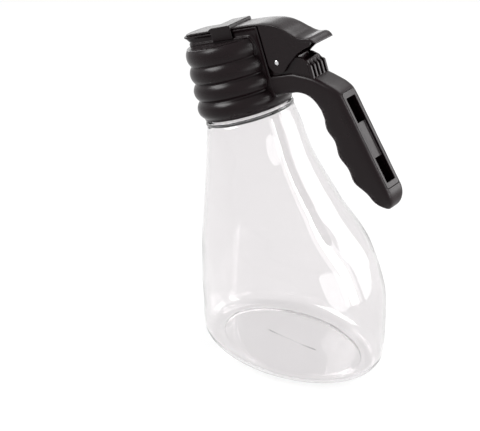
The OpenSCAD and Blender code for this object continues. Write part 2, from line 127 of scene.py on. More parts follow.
# %% Curves
def curve_through(table, x):
    """Smooth curve without overshoot through (x, value) pairs, as the CAD source has it."""
    last = len(table) - 1
    i = 0
    while i < last - 1 and x >= table[i + 1][0]:
        i += 1

    def rise(k):
        return (table[k + 1][1] - table[k][1]) / (table[k + 1][0] - table[k][0])

    def slope(k):
        if k == 0 or k == last:
            return rise(0 if k == 0 else last - 1)
        before, after = rise(k - 1), rise(k)
        return 0.0 if before * after <= 0 else 2 * before * after / (before + after)

    width = table[i + 1][0] - table[i][0]
    u = (x - table[i][0]) / width
    start, end = table[i][1], table[i + 1][1]
    leave, arrive = slope(i) * width, slope(i + 1) * width
    return ((2 * u**3 - 3 * u**2 + 1) * start + (u**3 - 2 * u**2 + u) * leave
            + (3 * u**2 - 2 * u**3) * end + (u**3 - u**2) * arrive)


def ease(u):
    """0 to 1 with soft ends."""
    u = min(max(u, 0.0), 1.0)
    return u * u * (3 - 2 * u)


def circle(sides):
    """Cosine and sine of evenly spaced turns."""
    turns = [2 * math.pi * j / sides for j in range(sides)]
    return [(math.cos(t), math.sin(t)) for t in turns]


print("halfway along an easing:", ease(0.5))


# %% Skins
def mesh_object(name, mesh):
    """A scene object made from a bmesh, which is freed."""
    data = bpy.data.meshes.new(name)
    mesh.to_mesh(data)
    mesh.free()
    return in_scene(name, data)


def skin(name, rings):
    """A closed mesh object over rings of points in metres."""
    mesh = bmesh.new()
    rows = [[mesh.verts.new(p) for p in ring] for ring in rings]
    count = len(rows[0])
    for low, high in zip(rows, rows[1:]):
        for j in range(count):
            k = (j + 1) % count
            mesh.faces.new((low[j], low[k], high[k], high[j]))
    mesh.faces.new(list(reversed(rows[0])))
    mesh.faces.new(rows[-1])
    bmesh.ops.recalc_face_normals(mesh, faces=mesh.faces)
    made = mesh_object(name, mesh)
    made.data.shade_smooth()
    return made


# %% [markdown]
# ## The bottle
# A blown bottle is one wall that is folded over at the mouth: the outside runs
# from the middle of the base up to the lip, and the inside runs back down. One
# long row of rings follows that path, so the plastic has a true thickness and
# light bends in it as in the real wall.

# %% Bottle sizes
BELLY_LEN, BELLY_WID, BELLY_X = 143.0, 109.0, 6.51
NECK_R, NECK_WALL, NECK_TOP, BEAD_R = 25.0, 3.0, 26.0, 31.5
SHOULDER_R, SHOULDER_DROP = BEAD_R - 0.6, 4.0
LENGTH_CURVE = [(0, 0.99), (0.14, 1), (0.29, 0.985), (0.46, 0.83), (0.63, 0.48), (0.81, 0.19),
                (0.93, 0.075), (1, 0)]
WIDTH_CURVE = [(0, 0.85), (0.14, 0.9), (0.29, 1), (0.46, 0.95), (0.63, 0.61), (0.81, 0.28),
               (0.93, 0.12), (1, 0)]
UPRIGHT_SHARE = 0.23
TOP_X = NECK_X + SHOULDER_DROP * SIN_T
TOP_Z = RIM_H - SHOULDER_DROP * COS_T
BOTTLE_SIDES = 144


def belly_ring(z, inset, rise=0.0):
    """One ring of the belly whose fullness is read at height z; rise lifts its points."""
    share = max(z / TOP_Z, 0.0)
    full, wide = curve_through(LENGTH_CURVE, share), curve_through(WIDTH_CURVE, share)
    a = SHOULDER_R + (BELLY_LEN / 2 - SHOULDER_R) * full - inset
    b = SHOULDER_R + (BELLY_WID / 2 - SHOULDER_R) * wide - inset
    x = TOP_X + (BELLY_X - TOP_X) * full
    tilt = NECK_TILT * ease((share - UPRIGHT_SHARE) / (1 - UPRIGHT_SHARE))
    return [table_point(x + a * c * math.cos(tilt), b * s, z + rise + a * c * math.sin(tilt))
            for c, s in circle(BOTTLE_SIDES)]


def round_ring(radius, h):
    """One ring square to the neck's axis."""
    return [neck_point(radius * c, radius * s, h) for c, s in circle(BOTTLE_SIDES)]


print("the shoulder starts at x =", round(TOP_X, 1), "and z =", round(TOP_Z, 1), "mm")

# %% [markdown]
# ## The bottle's base
# The middle of the base is pushed up, so the bottle stands on a ring and doesn't
# rock. A small step runs round the raised part, and a faint narrow ridge lies
# along its middle, where the blown tube is pinched off. Each could be a separate
# piece, but as further rings of the same skin they keep the wall whole. The heel
# has one centre for both skins, so the wall keeps its thickness round the bend.

# %% Base
WALL, BASE_CORNER, PUSH_UP, STEP_UP = 1.5, 12.0, 2.2, 1.1
RIDGE_H, RIDGE_HALF = 0.25, 1.4
DOME_EDGE, DOME_END, DOME_STEPS = 17.0, 4.8, 12
HEEL_STEP = 7.5
HALF_BASE = SHOULDER_R + (BELLY_WID / 2 - SHOULDER_R) * WIDTH_CURVE[0][1]


def dome_ring(step, lift):
    """A ring of the raised base, from its edge at step 0 towards its middle."""
    u = step / DOME_STEPS
    rise = STEP_UP + (PUSH_UP - STEP_UP) * math.sin(math.pi / 2 * u)
    return belly_ring(0, DOME_EDGE + (HALF_BASE - DOME_END - DOME_EDGE) * u, lift + rise)


def heel_ring(step, reach):
    """A ring of the round heel, reach away from the middle of its corner."""
    turn = math.radians(HEEL_STEP * step)
    return belly_ring(BASE_CORNER - reach * math.cos(turn), BASE_CORNER - reach * math.sin(turn))


outside = []
for gap in (0.15, 0.7, 1.3, 2.2, 4):
    ridge = RIDGE_H * math.exp(-(gap / RIDGE_HALF) ** 2)
    outside.append(belly_ring(0, HALF_BASE - gap, PUSH_UP - ridge))
outside += [dome_ring(step, 0) for step in range(DOME_STEPS, 0, -1)]
for inset, rise in ((16.7, STEP_UP - 0.05), (16.1, 0.55 * STEP_UP), (15.6, 0.1), (15.0, 0.0), (13.4, 0.0)):
    outside.append(belly_ring(0, inset, rise))
outside += [heel_ring(step, BASE_CORNER) for step in range(11)]
print("rings of the base and the heel:", len(outside))

# %% Outside up to the lip
OUTER_ROWS = 57
BEAD_MID, BEAD_HALF_H, BEAD_OUT = -2.75, 1.45, 1.3
BELLY_RISE = TOP_Z - BASE_CORNER
outside += [belly_ring(BASE_CORNER + BELLY_RISE * row / OUTER_ROWS, 0.0) for row in range(1, OUTER_ROWS)]
outside.append(round_ring(SHOULDER_R - 0.1, -4.3))
for degrees in range(-80, 81, 20):
    turn = math.radians(degrees)
    radius = BEAD_R - BEAD_OUT + BEAD_OUT * math.cos(turn)
    outside.append(round_ring(radius, BEAD_MID + BEAD_HALF_H * math.sin(turn)))
for radius, h in ((28.5, -1.25), (26.2, -1.15), (25.3, -0.8), (NECK_R, 0), (NECK_R, 6), (NECK_R, 20),
                  (NECK_R, NECK_TOP - 0.8), (NECK_R - 0.25, NECK_TOP - 0.2), (NECK_R - 0.8, NECK_TOP)):
    outside.append(round_ring(radius, h))
print("bottle rings outside:", len(outside))

# %% Inside back down to the base
INNER_ROWS, THROAT_DROP = 54, 3.4
BORE = NECK_R - NECK_WALL
inside = [round_ring(BORE + 0.8, NECK_TOP), round_ring(BORE + 0.2, NECK_TOP - 0.3)]
inside += [round_ring(BORE, h) for h in (NECK_TOP - 1, 16, 6, 0.6)]
for flare, h in ((0.5, -1.2), (2.2, -2.4), (4.4, -3.2), (6.3, -4.4), (7.2, -6.2)):
    inside.append(round_ring(BORE + flare, h))
for row in range(INNER_ROWS - 1, 0, -1):
    inside.append(belly_ring(BASE_CORNER + (BELLY_RISE - THROAT_DROP) * row / INNER_ROWS, WALL))
inside += [heel_ring(step, BASE_CORNER - WALL) for step in range(12, -1, -1)]
for inset, rise in ((14.6, 0.0), (15.4, 0.25 * STEP_UP), (16.2, 0.8 * STEP_UP)):
    inside.append(belly_ring(0, inset, WALL + rise))
inside += [dome_ring(step, WALL) for step in range(DOME_STEPS + 1)]
inside += [belly_ring(0, HALF_BASE - gap, WALL + PUSH_UP) for gap in (2.2, 1.3, 0.7, 0.15)]

bottle = skin("clear_bottle", outside + inside)
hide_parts("bottle")
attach(bottle, "bottle")
print("bottle rings inside:", len(inside))

# %% [markdown]
# ## Clear plastic
# Clear polycarbonate bends light a little more than glass does and carries a
# faint grey cast that adds up over its four skins. Fine flow marks from the
# blowing tool are far too small to model, so they are a weak bump.


# %% Material helpers
def set_values(node, values):
    """Sets the sockets of a node from a table of names or places."""
    for socket, value in values.items():
        node.inputs[socket].default_value = value


def add_node(tree, kind, values=None):
    """A new shader node with values on its sockets."""
    node = tree.nodes.new("ShaderNode" + kind)
    set_values(node, values or {})
    return node


def wire(tree, source, output, target, socket):
    """Links one node's output to another's input."""
    tree.links.new(source.outputs[output], target.inputs[socket])


def new_material(name, values):
    """A node material with its output and one Principled shader with those values."""
    material = bpy.data.materials.new(name)
    material.use_nodes = True
    tree = material.node_tree
    tree.nodes.clear()
    output = add_node(tree, "OutputMaterial")
    shader = add_node(tree, "BsdfPrincipled", values)
    wire(tree, shader, "BSDF", output, "Surface")
    return material, tree, shader


def dress(piece, material):
    """Gives a piece one material and nothing else."""
    piece.data.materials.clear()
    piece.data.materials.append(material)


# %% Clear polycarbonate
clear, tree, shader = new_material("clear_polycarbonate", {
    "Base Color": (0.873, 0.859, 0.864, 1), "Roughness": 0.045, "IOR": 1.52, "Transmission Weight": 1.0})
coords = add_node(tree, "TexCoord")
flow = add_node(tree, "TexNoise", {"Scale": 45, "Detail": 1})
bump = add_node(tree, "Bump", {"Strength": 0.25, "Distance": 0.0003})
wire(tree, coords, "Object", flow, "Vector")
wire(tree, flow, "Fac", bump, "Height")
wire(tree, bump, "Normal", shader, "Normal")
dress(bottle, clear)
print("clear plastic on", bottle.name)

# %% [markdown]
# ## Moulded pieces
# A moulding is a sum of simple solids with soft edges where they meet. The
# solids are drawn in millimetres round the neck's axis, joined and cut, turned
# into one even skin by a voxel remesh and smoothed a little. That gives the
# small fillets that a mould has and a stack of bevelled boxes lacks.


# %% Solids in millimetres round the neck's axis
def solid(rings):
    """A closed skin in mm, not yet in place."""
    return skin("solid", [[Vector(p) for p in ring] for ring in rings])


def slab(outline, width, middle=0.0):
    """An outline of (r, h) points, width wide across, about y = middle."""
    return solid([[(r, middle + side * width / 2, h) for r, h in outline] for side in (-1, 1)])


def block(r0, r1, half, h0, h1):
    """A box from r0 to r1 and h0 to h1, from -half to half across."""
    return slab([(r0, h0), (r1, h0), (r1, h1), (r0, h1)], 2 * half)


def rod_across(r, h, radius, width, middle=0.0, sides=64):
    """A round bar along y."""
    return slab([(r + radius * c, h + radius * s) for c, s in circle(sides)], width, middle)


# %% Wires and turned solids
def tube(points, radius, sides=12):
    """A round wire along points that never run straight across."""
    last = len(points) - 1
    rings = []
    for i, point in enumerate(points):
        heading = (points[min(i + 1, last)] - points[max(i - 1, 0)]).normalized()
        u = Vector((0, 1, 0)).cross(heading).normalized()
        v = heading.cross(u)
        rings.append([point + radius * (c * u + s * v) for c, s in circle(sides)])
    return solid(rings)


def turning(profile, sides=160):
    """A closed turned solid: profile is a loop of (radius, height) points."""
    mesh = bmesh.new()
    rows = [[mesh.verts.new((r * c, r * s, h)) for r, h in profile] for c, s in circle(sides)]
    for j in range(sides):
        here, there = rows[j], rows[(j + 1) % sides]
        for i in range(len(profile)):
            k = (i + 1) % len(profile)
            mesh.faces.new((here[i], there[i], there[k], here[k]))
    bmesh.ops.recalc_face_normals(mesh, faces=mesh.faces)
    return mesh_object("turning", mesh)


# %% Joining and cutting
def use_modifiers(piece):
    """Bakes the modifiers of a piece into its mesh."""
    graph = bpy.context.evaluated_depsgraph_get()
    shape = bpy.data.meshes.new_from_object(piece.evaluated_get(graph))
    piece.modifiers.clear()
    piece.data = shape


def joined(solids):
    """One object that holds all the solids' meshes."""
    mesh = bmesh.new()
    for part in solids:
        mesh.from_mesh(part.data)
        bpy.data.objects.remove(part)
    return mesh_object("joined", mesh)


def cut(piece, cutters):
    """Takes the cutters out of the piece."""
    tool = joined(cutters)
    less = piece.modifiers.new("cut", "BOOLEAN")
    less.operation, less.solver, less.object = "DIFFERENCE", "EXACT", tool
    less.use_self = True
    use_modifiers(piece)
    bpy.data.objects.remove(tool)


# %% Mouldings and their place on the bottle
def moulding(adds, cuts, voxel, rounds):
    """Adds less cuts as one even skin with soft edges."""
    piece = joined(adds)
    cut(piece, cuts)
    remesh = piece.modifiers.new("remesh", "REMESH")
    remesh.mode, remesh.voxel_size = "VOXEL", voxel
    soft = piece.modifiers.new("soft", "SMOOTH")
    soft.factor, soft.iterations = 0.5, rounds
    use_modifiers(piece)
    return piece


def placed(piece, name, body, slot, *stands_for):
    """Tilts a piece in mm into place, names it and lets it ride on its body."""
    piece.data.transform(NECK_MATRIX)
    piece.data.shade_smooth()
    piece.name = piece.data.name = name
    if body:
        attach(piece, body)
    if stands_for:
        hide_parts(*stands_for)
    print(name, len(piece.data.polygons), "faces")


# %% [markdown]
# ## The ribbed collar
# Four ribs let wet fingers turn the cap. Each is a full curve between two
# narrow valleys, and the ribs grow wider downwards. The profile is worked out
# rib by rib, its valleys are eased by a running mean, and it is turned round the
# axis; then the gap that the yoke sits in is cut out.

# %% Rib profile
RIB_LOW, RIB_TOP, RIB_COUNT, RIB_PITCH, RIM_BAND = 34.2, 31.8, 4, 12.1, 1.5
RIB_STEPS, RIB_FULLNESS = 24, 2.2
BORE_R, UPPER_BORE_R, CREASE_SHARE = 26.8, 25.5, 0.58
COLLAR_TOP = RIM_BAND + RIB_COUNT * RIB_PITCH


def rib_radius(i):
    """The crown of rib i, counted from the lowest."""
    return RIB_LOW + (RIB_TOP - RIB_LOW) * i / (RIB_COUNT - 1)


def crease_radius(i):
    """The valley beside rib i."""
    return BORE_R + CREASE_SHARE * (rib_radius(i) - BORE_R)


ribs = []
for i in range(RIB_COUNT):
    crown, crease = rib_radius(i), crease_radius(i)
    for k in range(RIB_STEPS):
        u = abs(2 * k / RIB_STEPS - 1)
        ribs.append((crown - (crown - crease) * u**RIB_FULLNESS, RIM_BAND + RIB_PITCH * (i + k / RIB_STEPS)))
ribs.append((crease_radius(RIB_COUNT - 1), COLLAR_TOP))
last = len(ribs) - 1
eased = [sum(ribs[max(0, min(last, n + d))][0] for d in (-1, 0, 1)) / 3 for n in range(len(ribs))]
rib_profile = [(r, h) for r, (_, h) in zip(eased, ribs)]
print("ribs:", RIB_COUNT, "over", round(COLLAR_TOP, 1), "mm")

# %% Collar
FRAME_W, YOKE_IN, YOKE_BACK, YOKE_LOW = 20.5, 28.0, 35.5, 7.5
PLUG_LOW, NARROW_FROM, FAR = COLLAR_TOP - 2.1, 25.0, 80.0
SHARP_EDGE = math.radians(38)
foot = crease_radius(0)
mouth = COLLAR_TOP + 0.05
profile = [(BORE_R + 0.5, 0), (foot - 0.4, 0), (foot, 0.3), (foot + 0.05, 1.0)] + rib_profile
profile += [(crease_radius(RIB_COUNT - 1) - 0.5, mouth), (BORE_R, mouth), (BORE_R, PLUG_LOW),
            (UPPER_BORE_R, PLUG_LOW), (UPPER_BORE_R, NARROW_FROM), (BORE_R, NARROW_FROM), (BORE_R, 0.5)]
collar = turning(profile)
cut(collar, [block(YOKE_IN - 0.1, FAR, FRAME_W / 2 + 0.1, YOKE_LOW, FAR)])
collar.data.set_sharp_from_angle(angle=SHARP_EDGE)
placed(collar, "ribbed_collar", "cap", "black_plastic", "grip_collar")

# %% [markdown]
# ## The spout deck and yoke
# The deck is a boat-shaped tower with a rounded nose. It leans out from a
# narrow foot flange to a thin rim, and the yoke behind it runs down through
# the gap in the collar. The pouring channel and a hollow behind it lighten it.

# %% Deck outlines
HALF_W = FRAME_W / 2
LIP_REACH, DECK_TOP, RIM_T, RIM_OUT, FOOT_BACK = 35.9, 56.7, 1.4, 0.5, 4.2
FLANGE_OUT, FLANGE_BACK = 1.3, 26
NOSE_R = HALF_W - 0.05
NOSE_MID = NOSE_R - LIP_REACH


def deck_ring(h, middle, radius, back_end=YOKE_BACK):
    """The deck's outline at height h: a half round nose and straight sides."""
    turns = [math.radians(90 + 180 * j / 32) for j in range(33)]
    nose = [(middle + radius * math.cos(t), radius * math.sin(t), h) for t in turns]
    return [(back_end, radius, h)] + nose + [(back_end, -radius, h)]


foot_mid, top_mid = NOSE_MID + FOOT_BACK, NOSE_MID + 0.2
tower = solid([deck_ring(h, mid, NOSE_R) for h, mid in
               ((COLLAR_TOP - 1, foot_mid), (COLLAR_TOP + 1.6, foot_mid),
                (DECK_TOP - RIM_T, top_mid), (DECK_TOP - 0.3, top_mid))])
rim = solid([deck_ring(h, NOSE_MID, NOSE_R + out) for h, out in
             ((DECK_TOP - RIM_T, 0.3), (DECK_TOP - RIM_T + 0.3, RIM_OUT + 0.1),
              (DECK_TOP - 0.3, RIM_OUT + 0.1), (DECK_TOP, 0.3))])
foot_flange = solid([deck_ring(COLLAR_TOP + d, foot_mid, NOSE_R + FLANGE_OUT, FLANGE_BACK)
                     for d in (-0.9, 1.5)])
yoke = block(YOKE_IN, YOKE_BACK, HALF_W, YOKE_LOW, DECK_TOP)
yoke_edge = block(YOKE_BACK - 1.3, YOKE_BACK, HALF_W + RIM_OUT, 22, DECK_TOP)
print("deck from r =", round(NOSE_MID - NOSE_R, 1), "to", YOKE_BACK)

# %% [markdown]
# ## Beads at the ends of the ribs
# Where the collar ends beside the yoke, a rounded bead runs from the foot flange
# down over the top rib. It could be a bevel on the yoke, but the edge isn't
# straight there; a wire laid on the ribs' own profile follows it.

# %% Border beads
BORDER_R, BORDER_OUT, BORDER_LIFT = 0.75, 0.9, 0.2
BORDER_START, BORDER_STEP, BORDER_COUNT = 49.6, 0.5, 25


def collar_radius(h):
    """The ribbed collar's outer radius at height h."""
    return min(rib_profile, key=lambda p: abs(p[1] - h))[0]


def border_bead(side):
    """A rounded bead from the foot flange down the end of the top rib."""
    across = side * (HALF_W + BORDER_OUT)
    path = [(22, 50.8), (25, 50.8), (27.4, 50.5)]
    for j in range(BORDER_COUNT):
        h = BORDER_START - BORDER_STEP * j
        path.append((math.sqrt(collar_radius(h) ** 2 - across**2) + BORDER_LIFT, h))
    return tube([Vector((r, across, h)) for r, h in path], BORDER_R)


beads = [border_bead(side) for side in (-1, 1)]
print("border beads:", len(beads))

# %% Deck cuts
CHANNEL_HALF, CHANNEL_BACK, CHANNEL_FRONT, PORT_FRONT = 6.5, 8.0, 2.8 - LIP_REACH, -20.0
DECK_WALL = 2.4
channel = slab([(PORT_FRONT, COLLAR_TOP - 8), (CHANNEL_BACK, COLLAR_TOP - 8), (CHANNEL_BACK, DECK_TOP + 2),
                (CHANNEL_FRONT, DECK_TOP + 2), (CHANNEL_FRONT, DECK_TOP - 1),
                (PORT_FRONT, COLLAR_TOP + 0.5)], 2 * CHANNEL_HALF)
pocket = block(CHANNEL_BACK + 3, YOKE_BACK - DECK_WALL, HALF_W - DECK_WALL,
               COLLAR_TOP + DECK_WALL, DECK_TOP + 2)
deck = moulding([tower, rim, foot_flange, yoke, yoke_edge] + beads, [channel, pocket], voxel=0.4, rounds=8)
placed(deck, "spout_deck", "cap", "black_plastic", "pour_frame")

# %% [markdown]
# ## The funnel inside the cap
# A flange sits over the gasket on the bottle's mouth, and a funnel leads from it
# to the port under the deck. Both are round, so one profile turned on the neck's
# axis makes them, and a thin turned floor closes the rest of the collar's top.

# %% Funnel and floor
FUNNEL_R, FUNNEL_WALL, FLANGE_LOW, FLANGE_T = 22.0, 2.0, 27.85, 2.0
FLOOR_TOP, FLOOR_IN, FLOOR_OUT = COLLAR_TOP + 0.4, 18, 19
FLANGE_R, FUNNEL_OUT = UPPER_BORE_R - 0.2, FUNNEL_R + FUNNEL_WALL
funnel = turning([(FUNNEL_R, FLANGE_LOW), (FLANGE_R - 0.2, FLANGE_LOW), (FLANGE_R, FLANGE_LOW + 0.2),
                  (FLANGE_R, FLANGE_LOW + FLANGE_T - 0.2), (FLANGE_R - 0.2, FLANGE_LOW + FLANGE_T),
                  (FUNNEL_OUT, FLANGE_LOW + FLANGE_T), (FUNNEL_OUT, PLUG_LOW), (BORE_R - 0.2, PLUG_LOW),
                  (BORE_R - 0.2, FLOOR_TOP), (FLOOR_IN, FLOOR_TOP), (FLOOR_IN, PLUG_LOW),
                  (FUNNEL_R - 1, PLUG_LOW), (FUNNEL_R, FLANGE_LOW + 8)], 96)
disc = turning([(0.01, PLUG_LOW), (FLOOR_OUT, PLUG_LOW), (FLOOR_OUT, COLLAR_TOP + 0.3),
                (0.01, COLLAR_TOP + 0.3)], 96)
for part, name in ((funnel, "cap_funnel"), (disc, "cap_floor")):
    cut(part, [block(PORT_FRONT, CHANNEL_BACK, CHANNEL_HALF, PLUG_LOW - 1, DECK_TOP)])
    part.data.set_sharp_from_angle(angle=SHARP_EDGE)
    placed(part, name, "cap", "black_plastic")

# %% [markdown]
# ## The arm and the pistol grip
# The arm leaves the yoke as a square bar and turns down into the grip in one
# sweep. Its sections are rounded boxes whose finger side is softer than the
# back, and the finger waves are part of the sweep, so no seam shows.

# %% Grip sizes
BACK_X, BACK_H, BACK_LEAN = 86.8, 8.0, math.radians(13.9)
GRIP_W, GRIP_DEPTH, GRIP_LEN, FINGER_PITCH, FINGER_BUMP = 20.0, 25.0, 86.0, 20.0, 1.1
GRIP_FROM, TIP_ROUND, TIP_DEPTH, FIRST_BUMP = 14, 12.0, 9.4, 21.0
TAPER = [(0, 0.93), (14, 0.97), (24, 1.01), (46, 1.03), (58, 0.98), (68, 0.86), (78, 0.66), (90, 0.42)]


def back_point(s, inward):
    """s down the grip's back, inward from it: (r, h)."""
    return (BACK_X + s * math.sin(BACK_LEAN) - inward * math.cos(BACK_LEAN),
            BACK_H - s * math.cos(BACK_LEAN) - inward * math.sin(BACK_LEAN))


def grip_end(s, least=0.02):
    """1 along the grip, falling as a quarter circle over its tip."""
    gone = (s - GRIP_LEN + TIP_ROUND) / TIP_ROUND
    return 1.0 if gone <= 0 else math.sqrt(max(least, 1 - gone * gone))


def grip_reach(s):
    """The grip's depth from its back to the finger side, waves included."""
    wave = FINGER_BUMP * math.cos(2 * math.pi * (s - FIRST_BUMP) / FINGER_PITCH)
    full = GRIP_DEPTH * curve_through(TAPER, s) + wave
    return TIP_DEPTH + (full - TIP_DEPTH) * grip_end(s)


print("grip tip at", [round(v, 1) for v in back_point(GRIP_LEN, TIP_DEPTH)])

# %% Arm edges
ARM_LOW, ARM_TOP = 8.0, 22.3
arm_low_edge = [(YOKE_IN + 1, ARM_LOW + 0.3), (42, ARM_LOW), (51, ARM_LOW + 0.2), (57.2, 7), (62, 4.2),
                (64.9, 0.5), (66.3, -3.4), (66.8, -6.4), (66.9, -9),
                back_point(GRIP_FROM, grip_reach(GRIP_FROM))]
arm_high_edge = [(YOKE_IN + 1, ARM_TOP), (42, ARM_TOP), (52, ARM_TOP), (60, 20.4), (68.6, 17.6),
                 (76.5, 13.2), (83.4, 8.6), (87.2, 4.4), (88.9, -0.6), back_point(GRIP_FROM, 0)]
arm_width = [FRAME_W] * 6 + [FRAME_W - 0.2, GRIP_W, GRIP_W, GRIP_W]


def along(values, u):
    """A smooth value between evenly spaced ones."""
    return curve_through(list(enumerate(values)), u)


def edge_point(edge, u):
    """A smooth point between an edge's (r, h) points."""
    return along([r for r, _ in edge], u), along([h for _, h in edge], u)


print("the arm is", ARM_TOP - ARM_LOW, "mm deep at the yoke")


# %% Arm and grip in one sweep
def section(low, high, width, finger_soft, back_soft, sides=72):
    """A rounded box between a low and a high edge point, both (r, h)."""
    ring = []
    for j in range(sides):
        t = 2 * math.pi * (j + 0.5) / sides
        c, s = math.cos(t), math.sin(t)
        power = 2 / (back_soft if c > 0 else finger_soft)
        k = (1 + math.copysign(abs(c) ** power, c)) / 2
        y = width / 2 * math.copysign(abs(s) ** power, s)
        ring.append((low[0] + (high[0] - low[0]) * k, y, low[1] + (high[1] - low[1]) * k))
    return ring


SKIN_IN, BACK_SOFT, ARM_SOFT, FINGER_SOFT = 0.1, 6, 5, 3.4
ARM_STEPS, GRIP_STEPS = 4, 75
rings = []
for step in range(ARM_STEPS * (len(arm_width) - 1)):
    u = step / ARM_STEPS
    softness = ARM_SOFT - (ARM_SOFT - FINGER_SOFT) * ease((u - 3) / 5)
    rings.append(section(edge_point(arm_low_edge, u), edge_point(arm_high_edge, u),
                         along(arm_width, u) - SKIN_IN, softness, BACK_SOFT))
for step in range(GRIP_STEPS + 1):
    s = GRIP_FROM + (GRIP_LEN - GRIP_FROM) * (1 - (1 - step / GRIP_STEPS) ** 1.4)
    end = grip_end(s, 0.004)
    width = (GRIP_W - SKIN_IN) * (0.3 + 0.7 * end) * (1 - 0.08 * ease((s - 50) / 36))
    rings.append(section(back_point(s, grip_reach(s)), back_point(s, TIP_DEPTH * (1 - end)),
                         width, FINGER_SOFT, BACK_SOFT))
grip = solid(rings)
print("arm and grip:", len(rings), "sections")

# %% [markdown]
# ## The grip's hollow and its seat
# The grip is moulded hollow, so its thick part cools without sinking in. The
# back has a shallow seat for a cover. A plate with round corners that follows
# the leaning back cuts the seat, and the same function makes the cover later.

# %% Seat and hollow
COVER_W, COVER_IN, COVER_FROM, COVER_TO, RECESS = 14.2, 0.3, 4.0, 73.0, 1.6
COVER_T, COVER_GAP, HOLLOW_W = RECESS + 1.8, 0.12, 11.6


def back_plate(width, start, end, deep, shallow, corner, steps=8):
    """A plate lying on the grip's back from s = start to end, with round corners."""
    outline = []
    for side, s_end, inward, turn in ((1, start, corner, 0), (-1, start, corner, 90),
                                      (-1, end, -corner, 180), (1, end, -corner, 270)):
        for j in range(steps + 1):
            t = math.radians(turn + 90 * j / steps)
            y = side * (width / 2 - corner) + corner * math.cos(t)
            outline.append((s_end + inward - corner * math.sin(t), y))
    rings = []
    for depth in (deep, shallow):
        on_back = [(back_point(s, depth), y) for s, y in outline]
        rings.append([(r, y, h) for (r, h), y in on_back])
    return solid(rings)


seat = back_plate(COVER_W + 2 * COVER_GAP, COVER_FROM - COVER_GAP, COVER_TO + COVER_GAP,
                  COVER_IN + COVER_T, -6, 2.1)
cut(grip, [seat])
hollow = [back_point(s, inward) for s, inward in
          ((5.5, 3.6), (71.5, 3.6), (71.5, 9.5), (65, 12), (46.5, 17.4), (16, 17.4), (10, 13), (6, 8))]
cut(grip, [slab(hollow, HOLLOW_W)])
grip.data.set_sharp_from_angle(angle=math.radians(40))
placed(grip, "arm_and_grip", "cap", "black_plastic")

# %% [markdown]
# ## The cover in the grip's back
# A plate closes the hollow grip. A shallow recess runs along it, with a slot
# through the plate at each end.

# %% Cover
SLOT_LEN, SLOT_W, SLOT_1, SLOT_CORNER = 17.6, 9.4, 8.4, 0.6
SLOT_2 = COVER_TO - 4 - SLOT_LEN
recess = back_plate(SLOT_W, SLOT_1, SLOT_2 + SLOT_LEN, COVER_IN + RECESS, -3, SLOT_CORNER)
slots = [back_plate(SLOT_W, start, start + SLOT_LEN, 9, 0, SLOT_CORNER) for start in (SLOT_1, SLOT_2)]
cover = moulding([back_plate(COVER_W, COVER_FROM, COVER_TO, COVER_IN + COVER_T, COVER_IN - 0.1, 2)],
                 [recess] + slots, voxel=0.3, rounds=2)
placed(cover, "grip_cover", "cap", "black_plastic", "handle_cover")

# %% [markdown]
# ## The hinge block
# The pin passes through a block that stands on the arm between the lid's two
# cheeks. Its rear end is a comb of thin fins, which saves plastic and keeps
# the moulding from sinking in.

# %% Hinge block
CHEEK_R, CHEEK_T, COIL_R, WIRE_R = 7.7, 2.0, 3.3, 0.5
BLOCK_W = FRAME_W - 2 * CHEEK_T - 0.6
BLOCK_BACK, BLOCK_LOW, COMB_SLOT, COMB_FINS, NOTCH_W = 70.0, 14, 1.8, 5, 9.2
COMB_W, COMB_FROM, COMB_LOW, COMB_HIGH = BLOCK_W + 1.5, BLOCK_BACK - 2.6, PIN_H - 13.6, PIN_H - 4.4
NOTCH_FLOOR = PIN_H - COIL_R - WIRE_R - 0.1
NOTCH_FRONT, NOTCH_BACK, ABOVE = YOKE_BACK + 1.4, 56, 60
block_body = slab([(YOKE_BACK - 2, ARM_TOP - 4), (YOKE_BACK - 2, PIN_H + 8.5), (YOKE_BACK + 6, PIN_H + 7.8),
                   (PIN_X + 5, PIN_H + 5.2), (56, PIN_H + 2.8), (62, PIN_H + 1.2), (66.4, PIN_H - 1.4),
                   (COMB_FROM + 1, COMB_HIGH), (COMB_FROM + 1, BLOCK_LOW), (60, BLOCK_LOW)], BLOCK_W)
comb = slab([(COMB_FROM, COMB_LOW - 3), (COMB_FROM, COMB_HIGH + 0.4), (BLOCK_BACK - 1.4, COMB_HIGH),
             (BLOCK_BACK - 0.4, COMB_HIGH - 0.5), (BLOCK_BACK, COMB_HIGH - 1.4),
             (BLOCK_BACK, COMB_LOW - 3)], COMB_W)
cuts = [slab([(NOTCH_FRONT, NOTCH_FLOOR), (NOTCH_BACK, NOTCH_FLOOR), (NOTCH_BACK, ABOVE),
              (NOTCH_FRONT, ABOVE)], NOTCH_W),
        block(BLOCK_BACK - 10.5, BLOCK_BACK - 4.5, BLOCK_W / 2 - CHEEK_T, COMB_HIGH - 4, ABOVE),
        rod_across(PIN_X, PIN_H, PIN_R + 0.1, 40)]
for i in range(1, COMB_FINS):
    middle = -COMB_W / 2 + i * (COMB_W + COMB_SLOT) / COMB_FINS - COMB_SLOT / 2
    cuts.append(slab([(COMB_FROM - 0.4, COMB_LOW), (FAR, COMB_LOW), (FAR, ABOVE),
                      (COMB_FROM - 0.4, ABOVE)], COMB_SLOT, middle))
hinge_block = moulding([block_body, comb], cuts, voxel=0.35, rounds=2)
placed(hinge_block, "hinge_block", "cap", "black_plastic")

# %% [markdown]
# ## The lid, its band and the thumb tab
# The lid is one lever. Its front covers the deck, a raised band with skirts
# stiffens it, two cheeks carry it on the pin and its tail is the thumb tab.
# The plate is a row of sections along three curves, so that it can swell, dip
# and thin out towards the tab as the real one does.

